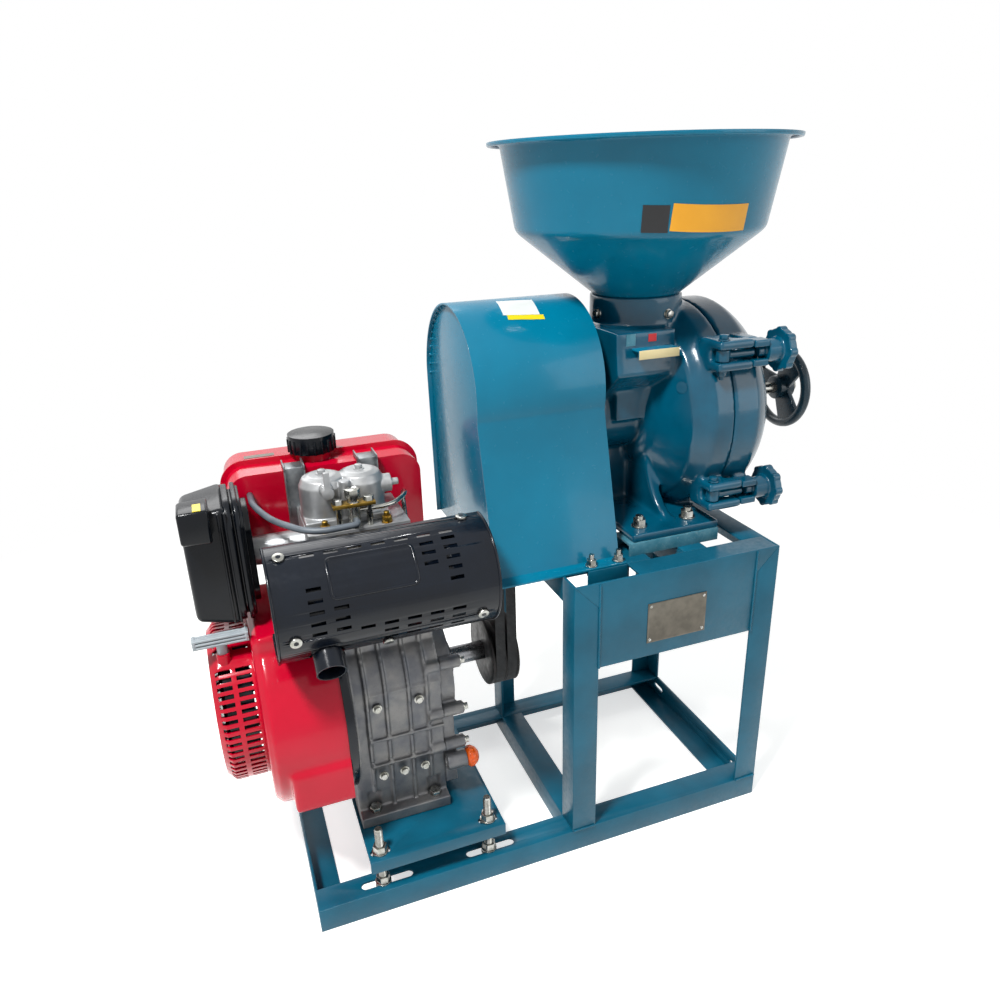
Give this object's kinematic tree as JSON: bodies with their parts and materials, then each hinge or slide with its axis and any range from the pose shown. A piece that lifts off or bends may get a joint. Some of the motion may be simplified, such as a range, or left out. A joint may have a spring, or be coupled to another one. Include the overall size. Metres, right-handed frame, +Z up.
{
  "type": "engine-driven disc grain grinder",
  "caption": "Free-standing disc mill with a conical hopper, hinged grinding chamber door, belt drive under a guard and an air-cooled engine on an angle-iron stand",
  "frame": {"origin": "on the floor, under the middle of the machine's bounding box", "axes": "+X along the shafts from the engine to the mill, +Y away from the silencer side, +Z up"},
  "size_m": [1.026, 0.478, 1.052],
  "materials": {
    "teal": "satin",
    "red": "gloss",
    "black": "satin",
    "plastic": "matte",
    "alloy": "cast",
    "iron": "painted",
    "steel": "brushed",
    "bare_iron": "ground",
    "rubber": "matte",
    "orange": "gloss",
    "brass": "plated",
    "silver": "satin"
  },
  "bodies": {
    "machine": {"base_front_rail": "teal", "base_rear_rail": "teal", "base_left_rail": "teal", "base_right_rail": "teal", "base_cross_rail": "teal", "front_posts": "teal", "rear_posts": "teal", "top_front_plate": "teal", "top_rails": "teal", "mill_bearers": "teal", "mill_support_bars": "teal", "engine_base_plate": "teal", "engine_mount_studs": "steel", "engine_mount_nuts": "steel", "frame_bolts": "steel", "crankcase": "alloy", "crankcase_side_cover": "alloy", "cylinder_block": "alloy", "rocker_cover": "alloy", "fan_shroud": "red", "shroud_back_plate": "black", "recoil_housing": "red", "drive_belts": "rubber", "fuel_tank": "red", "tank_straps": "silver", "air_cleaner_base": "black", "air_cleaner_cover": "black", "muffler": "black", "heat_shield": "black", "shield_screws": "steel", "injector": "steel", "fuel_hose": "rubber", "guard_wrap": "teal", "guard_end_panel": "teal", "mill_body": "iron", "cover_hinge_pin": "steel", "fixed_plate": "bare_iron", "shaft_bearings": "steel", "discharge_spout": "silver", "hopper": "teal"},
    "crank": {"crankshaft": "steel", "flywheel": "alloy", "engine_pulley": "bare_iron"},
    "mill_rotor": {"mill_shaft": "steel", "rotor_plate": "bare_iron", "mill_pulley": "bare_iron"},
    "door": {"mill_cover": "iron", "cover_ears": "iron"},
    "upper_bolt": {"upper_swing_bolt": "steel"},
    "lower_bolt": {"lower_swing_bolt": "steel"},
    "upper_knob": {"upper_star_knob": "iron"},
    "lower_knob": {"lower_star_knob": "iron"},
    "cup": {"thrust_cup": "steel"},
    "wheel": {"handwheel": "black", "adjusting_screw": "brass"},
    "gate": {"feed_gate": "silver"},
    "grip": {"starter_grip": "plastic"},
    "tank_cap": {"fuel_cap": "plastic"},
    "filler_cap": {"oil_cap": "orange"},
    "lever": {"decompression_lever": "steel"}
  },
  "joints": [
    {"name": "crank_spin", "type": "hinge", "parent": "machine", "child": "crank", "pos_m": [-0.069, -0.028, 0.297], "axis": [1, 0, 0], "continuous": true},
    {"name": "mill_spin", "type": "hinge", "parent": "machine", "child": "mill_rotor", "pos_m": [-0.069, 0.017, 0.657], "axis": [1, 0, 0], "continuous": true},
    {"name": "door_swing", "type": "hinge", "parent": "machine", "child": "door", "pos_m": [0.275, 0.198, 0.657], "axis": [0, 0, 1], "range_deg": [0, 100]},
    {"name": "upper_bolt_swing", "type": "hinge", "parent": "machine", "child": "upper_bolt", "pos_m": [0.25, -0.14052, 0.76325], "axis": [0, 0, 1], "range_deg": [-100, 0]},
    {"name": "lower_bolt_swing", "type": "hinge", "parent": "machine", "child": "lower_bolt", "pos_m": [0.25, -0.14052, 0.55075], "axis": [0, 0, 1], "range_deg": [-100, 0]},
    {"name": "upper_knob_turn", "type": "hinge", "parent": "door", "child": "upper_knob", "pos_m": [0.344, -0.14052, 0.76325], "axis": [1, 0, 0], "range_deg": [0, 1080]},
    {"name": "lower_knob_turn", "type": "hinge", "parent": "door", "child": "lower_knob", "pos_m": [0.344, -0.14052, 0.55075], "axis": [1, 0, 0], "range_deg": [0, 1080]},
    {"name": "cup_advance", "type": "slide", "parent": "door", "child": "cup", "axis": [1, 0, 0], "range_m": [0, 0.006]},
    {"name": "handwheel_turn", "type": "hinge", "parent": "cup", "child": "wheel", "pos_m": [0.489, 0.017, 0.657], "axis": [1, 0, 0], "range_deg": [0, 1080]},
    {"name": "gate_slide", "type": "slide", "parent": "machine", "child": "gate", "axis": [0, -1, 0], "range_m": [0, 0.08]},
    {"name": "grip_pull", "type": "slide", "parent": "machine", "child": "grip", "axis": [0, -0.9023, 0.4311], "range_m": [0, 0.45]},
    {"name": "fuel_cap_turn", "type": "hinge", "parent": "machine", "child": "tank_cap", "pos_m": [-0.308, 0.084, 0.64], "axis": [0, 0, 1], "range_deg": [0, 90]},
    {"name": "oil_cap_turn", "type": "hinge", "parent": "machine", "child": "filler_cap", "pos_m": [-0.154, -0.12, 0.172], "axis": [1, 0, 0], "range_deg": [0, 720]},
    {"name": "decompression", "type": "hinge", "parent": "machine", "child": "lever", "pos_m": [-0.312, -0.063, 0.62], "axis": [0, 1, 0], "range_deg": [0, 45]}
  ],
  "couplings": [
    {"joint": "mill_spin", "follows": "crank_spin", "ratio": 0.56436},
    {"joint": "cup_advance", "follows": "handwheel_turn", "m_per_rad": 0.00031831}
  ]
}
